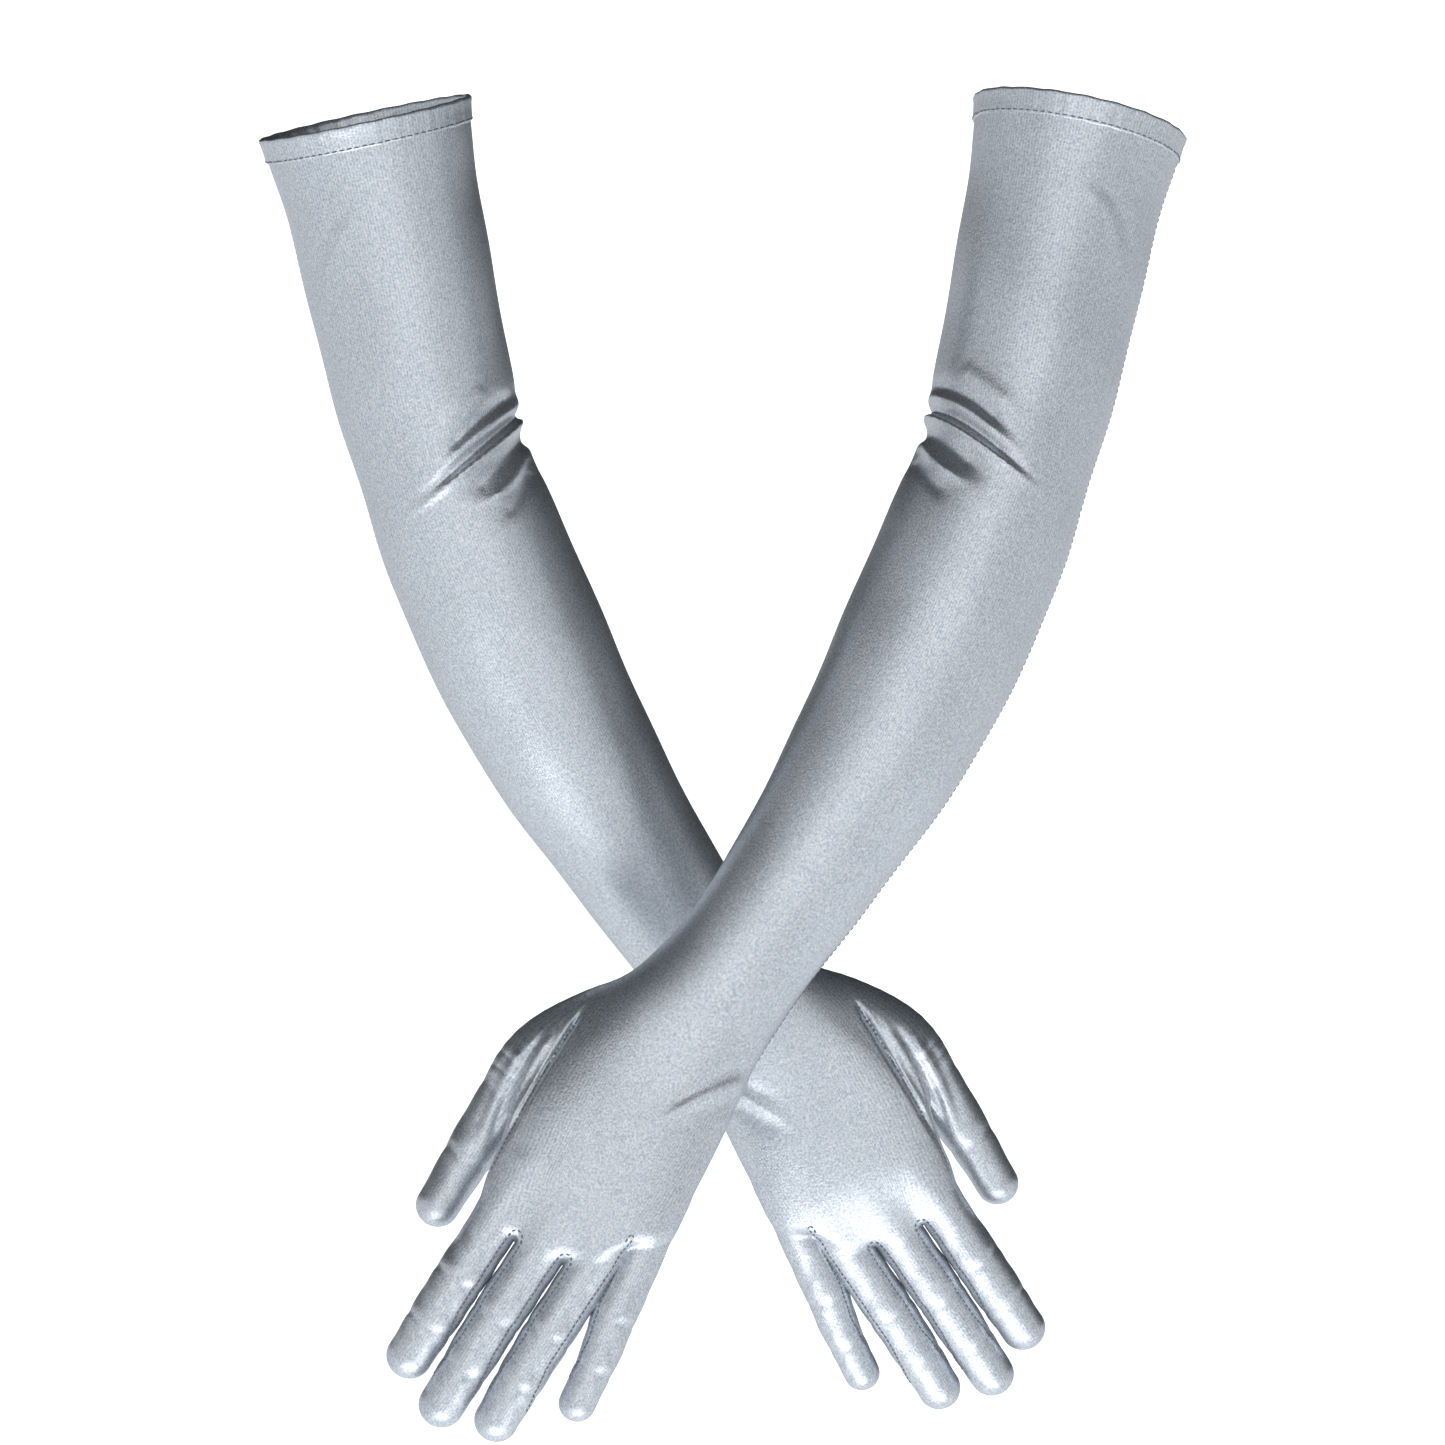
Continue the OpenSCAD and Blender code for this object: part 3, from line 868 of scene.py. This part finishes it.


def knit(name, shade, light, roughness, metallic):
    """Stretch satin knit: shiny filament yarn in fine ribs, with soft bright bands, a faint grain and a
    painted sparkle: the ribs and loops move the colour between a dark and a light tone.
    """
    m = bpy.data.materials.new(name)
    m.use_nodes = True
    tree = m.node_tree
    tree.nodes.clear()
    cloth = added(tree, "ShaderNodeUVMap", {"uv_map": "cloth"})
    # Ribs run along the arm, so they vary around it
    ribs = added(tree, "ShaderNodeTexWave", {"bands_direction": "X"}, Vector=cloth.outputs[0],
                 Scale=2 * math.pi / (20 * RIB_MM * MM), Distortion=1.2, Detail=1.0, Detail_Scale=1.0)
    place = added(tree, "ShaderNodeTexCoord")
    loops = added(tree, "ShaderNodeTexNoise", Vector=place.outputs["Object"], Scale=1 / (SPARKLE_GRAIN_MM * MM),
                  Detail=2.0, Roughness=0.6)
    drift = added(tree, "ShaderNodeTexNoise", Vector=place.outputs["Object"], Scale=38.0, Detail=2.0)
    mixed = added(tree, "ShaderNodeMath", {"operation": "MULTIPLY_ADD"}, _0=ribs.outputs["Fac"], _1=0.12,
                  _2=loops.outputs["Fac"])
    # Painted sparkle: the ribs and the loop grain move the base colour between the dark and the light tone,
    # standing in for glints of the shiny yarn
    sparkle_tone = added(tree, "ShaderNodeMapRange", Value=mixed.outputs[0], From_Min=0.3, From_Max=0.85)
    colour = added(tree, "ShaderNodeMix", {"data_type": "RGBA"}, Factor=sparkle_tone.outputs[0])
    colour.inputs[6].default_value = linear(shade)
    colour.inputs[7].default_value = linear(light)
    rough = added(tree, "ShaderNodeMapRange", Value=drift.outputs["Fac"], From_Min=0.3, From_Max=0.7,
                  To_Min=roughness - 0.03, To_Max=roughness + 0.04)
    bump = added(tree, "ShaderNodeBump", Strength=0.8, Distance=0.00014, Height=mixed.outputs[0])
    skin = added(tree, "ShaderNodeBsdfPrincipled", Base_Color=colour.outputs[2], Roughness=rough.outputs[0],
                 Metallic=metallic, Normal=bump.outputs[0], IOR=1.5)
    added(tree, "ShaderNodeOutputMaterial", Surface=skin.outputs[0])
    return m


def plain(name, code, roughness, sheen=0.0):
    """A single matt finish with a faint fibre grain."""
    m = bpy.data.materials.new(name)
    m.use_nodes = True
    tree = m.node_tree
    tree.nodes.clear()
    place = added(tree, "ShaderNodeTexCoord")
    fibre = added(tree, "ShaderNodeTexNoise", Vector=place.outputs["Object"], Scale=1 / (0.4 * MM),
                  Detail=3.0)
    dark, light = linear(code), linear(code)
    colour = added(tree, "ShaderNodeMix", {"data_type": "RGBA"}, Factor=fibre.outputs["Fac"])
    colour.inputs[6].default_value = [c * 0.8 for c in dark[:3]] + [1]
    colour.inputs[7].default_value = [min(1, c * 1.15) for c in light[:3]] + [1]
    bump = added(tree, "ShaderNodeBump", Strength=0.3, Distance=0.0001, Height=fibre.outputs["Fac"])
    skin = added(tree, "ShaderNodeBsdfPrincipled", Base_Color=colour.outputs[2], Roughness=roughness,
                 Normal=bump.outputs[0], Sheen_Weight=sheen)
    added(tree, "ShaderNodeOutputMaterial", Surface=skin.outputs[0])
    return m


# The two tones are the dark and light ends of the painted sparkle
satin = knit("stretch_satin_face", "#9da6b2", "#e9edf1", 0.34, 0.76)
lining = plain("stretch_satin_reverse", "#aab0b5", 0.8, 0.3)
thread = plain("polyester_thread", "#686e74", 0.6)

# ---- Camera: at the middle of the pair, level, backs of the hands in view ----

WIDE = 0.549        # width of the picture at the gloves
camera = bpy.data.cameras.new("camera")
camera.lens = 200
camera.sensor_width = 36
camera_object = bpy.data.objects.new("camera", camera)
camera_object.location = (PITCH * MM / 2, -WIDE * camera.lens / camera.sensor_width, -0.2293)
camera_object.rotation_euler = (math.radians(90), 0, 0)
bpy.context.scene.collection.objects.link(camera_object)
bpy.context.scene.camera = camera_object


# ---- Build both gloves ----


def blend_about(o, direction):
    """Bakes a piece's placement into its mesh."""
    direction = direction / np.linalg.norm(direction)
    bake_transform(o)


def at_elbow(o):
    """Bakes the placement of a piece at the elbow into its mesh."""
    blend_about(o, ELBOW / UPPER_LEN + (WRIST - ELBOW) / FORE_LEN)


def at_wrist(o):
    """Bakes the placement of a piece at the wrist into its mesh."""
    blend_about(o, V)


def at_digit(o, name):
    """Bakes the placement of a piece where a digit joins the hand into its mesh."""
    line, _ = LINES[name]
    direction = line[-1] - HINGE[name]
    blend_about(o, direction * [1, 0, 1])


sleeves = sleeve_parts()
hand = hand_part()
skin_normals = {part: slope(verts) for part, (verts, _) in sleeves.items()}
skin_normals["hand_skin"] = slope(hand[0], sunk=False)
digits = digit_parts()
hem = hem_part()
tree = stitch_tree()
turns = np.linspace(-np.pi, np.pi, 360, endpoint=False)
hem_run = limb_surface(np.full(360, HEM_SEAM), turns, 0.75)
ulnar_upper = limb_surface(np.linspace(9.5, S_FORE, 120), np.full(120, math.radians(176)), 0.12)
ulnar_fore = limb_surface(np.linspace(S_FORE, S_HAND, 60), np.full(60, math.radians(176)), 0.12)

digit_seams, hand_seams = {}, {}
for palm, face in ((False, "back"), (True, "palm")):
    for name in DIGITS[1:]:
        for toward in FINGER_SEAMS[name]:
            digit_seams[name, f"{face}_{'b' if toward < 0 else 'a'}"] = seam_line(name, toward, palm)
    for a, b, *_ in WEBS:
        hand_seams[f"{a}_{b}_crotch_{face}"] = crotch_arc(a, b, palm)
seam_u, seam_v = rounded([(u, v, 0, 0) for u, v in THUMB_FOLDS[0][0]])[:, :2].T
hand_seams["thumb_seam"] = on_skin(seam_u, seam_v, False)

for side in ("right", "left"):
    for part, (verts, faces) in {**sleeves, "hand_skin": hand}.items():
        o = fabric(f"{side}_{part}", side, verts, faces, skin_normals[part], limb_uv(verts), satin, lining)
        if part == "upper_skin":
            at_elbow(o)
            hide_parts(f"{side}_upper_sleeve")
        elif part == "forearm_skin":
            at_wrist(o)
            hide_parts(f"{side}_forearm_sleeve")
        else:
            at_wrist(o)
            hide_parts(f"{side}_hand_panel", f"{side}_thumb_gusset")
    for piece, name, verts, faces, normals, uv in digits:
        v, f, n, t = used_only(verts, faces, normals, uv)
        o = fabric(f"{side}_{piece}_skin", side, v, f, n, t, satin, lining)
        at_digit(o, name)
        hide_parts(f"{side}_{piece}")
    for (name, where), line in digit_seams.items():
        o = stitched(f"{side}_{name}_stitches_{where}", side, line, tree, thread, step=2.0, length=1.5)
        at_digit(o, name)
    for name, line in hand_seams.items():
        o = stitched(f"{side}_{name}_stitches", side, line, tree, thread, step=2.0, length=1.5)
        at_wrist(o)
    verts, faces = hem
    o = fabric(f"{side}_hem_band", side, verts, faces, vertex_normals(verts, faces),
               limb_uv(verts), satin, lining, closed=True)
    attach(o, f"{side}_upper")
    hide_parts(f"{side}_cuff_hem")
    o = stitched(f"{side}_hem_stitches", side, hem_run, tree, thread, closed=True, step=3.0, length=2.3)
    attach(o, f"{side}_upper")
    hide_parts(f"{side}_hem_thread")
    o = stitched(f"{side}_upper_stitches", side, ulnar_upper, tree, thread)
    at_elbow(o)
    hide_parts(f"{side}_upper_seam")
    o = stitched(f"{side}_forearm_stitches", side, ulnar_fore, tree, thread)
    at_wrist(o)
    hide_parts(f"{side}_forearm_seam")


# ---- Studio: white sweep, a low front light and a front light, white walls all round, little from above ----

def sweep():
    """Floor curving up into a backdrop, well clear of the gloves."""
    floor, back, bend, front, top, side = -2.2, 5.0, 0.5, -6.0, 3.0, 6.0
    profile = [(front, floor), (back - bend, floor)]
    profile += [(back - bend + bend * math.sin(a), floor + bend - bend * math.cos(a))
                for a in np.linspace(0.1, math.pi / 2, 12)]
    profile += [(back, top)]
    verts = [(x, y, z) for x in (-side, side) for y, z in profile]
    n = len(profile)
    faces = [(i, i + n, i + n + 1, i + 1) for i in range(n - 1)]
    mesh = bpy.data.meshes.new("sweep")
    mesh.from_pydata(verts, [], faces)
    mesh.polygons.foreach_set("use_smooth", np.ones(len(faces), bool))
    m = bpy.data.materials.new("white_paper")
    m.use_nodes = True
    m.node_tree.nodes.clear()
    paper = added(m.node_tree, "ShaderNodeBsdfPrincipled", Base_Color=linear("#f4f5f6"), Roughness=0.9,
                  Emission_Color=linear("#ffffff"), Emission_Strength=0.95)
    added(m.node_tree, "ShaderNodeOutputMaterial", Surface=paper.outputs[0])
    mesh.materials.append(m)
    o = bpy.data.objects.new("sweep", mesh)
    bpy.context.scene.collection.objects.link(o)
    o.visible_glossy = o.visible_diffuse = False       # white to look at, without lighting the gloves' backs


def softbox(name, location, aim, width, height, watts):
    """An area light turned towards a point."""
    light = bpy.data.lights.new(name, "AREA")
    light.shape = "RECTANGLE"
    light.size, light.size_y, light.energy = width, height, watts
    o = bpy.data.objects.new(name, light)
    o.location = location
    o.rotation_mode = "QUATERNION"
    o.rotation_quaternion = (Vector(aim) - Vector(location)).to_track_quat("-Z", "Y")
    bpy.context.scene.collection.objects.link(o)


MIDDLE = (PITCH * MM / 2, 0, -0.26)
sweep()
softbox("below", (0.136, -0.95, -1.75), MIDDLE, 1.8, 1.2, 12)
softbox("front", (0.136, -2.4, 0.05), MIDDLE, 2.4, 1.6, 6.5)


def room():
    """White walls up to a little above the gloves and a dim ceiling, which darkens what faces up."""
    world = bpy.data.worlds.new("room")
    bpy.context.scene.world = world
    world.use_nodes = True
    tree = world.node_tree
    tree.nodes.clear()
    towards = added(tree, "ShaderNodeTexCoord")
    axes = added(tree, "ShaderNodeSeparateXYZ", Vector=towards.outputs["Generated"])
    height = added(tree, "ShaderNodeMath", {"operation": "MULTIPLY_ADD"}, _0=axes.outputs["X"], _1=WALL_SLOPE,
                   _2=axes.outputs["Z"])
    height = added(tree, "ShaderNodeMath", {"operation": "MULTIPLY_ADD"}, _0=axes.outputs["Y"], _1=BACK_LOWER,
                   _2=height.outputs[0])
    light = added(tree, "ShaderNodeMapRange", {"interpolation_type": "SMOOTHSTEP"}, Value=height.outputs[0],
                  From_Min=WALL_TOP - 0.10, From_Max=WALL_TOP + 0.06, To_Min=1, To_Max=CEILING_LIGHT)
    floor = added(tree, "ShaderNodeMapRange", Value=axes.outputs["Z"], From_Min=-0.8, From_Max=-0.3,
                  To_Min=FLOOR_LIGHT, To_Max=WALL_LIGHT)
    strength = added(tree, "ShaderNodeMath", {"operation": "MULTIPLY"}, _0=light.outputs[0],
                     _1=floor.outputs[0])
    back = added(tree, "ShaderNodeBackground", Color=linear("#f4f7fa"), Strength=strength.outputs[0])
    added(tree, "ShaderNodeOutputWorld", Surface=back.outputs[0])


WALL_TOP, WALL_SLOPE, CEILING_LIGHT = 0.32, 0.14, 0.03      # height and lean of the walls' upper edge
BACK_LOWER = 0.22   # how much lower that edge is behind the gloves
WALL_LIGHT, FLOOR_LIGHT = 0.84, 1.2
room()
bpy.context.scene.view_settings.view_transform = "Standard"
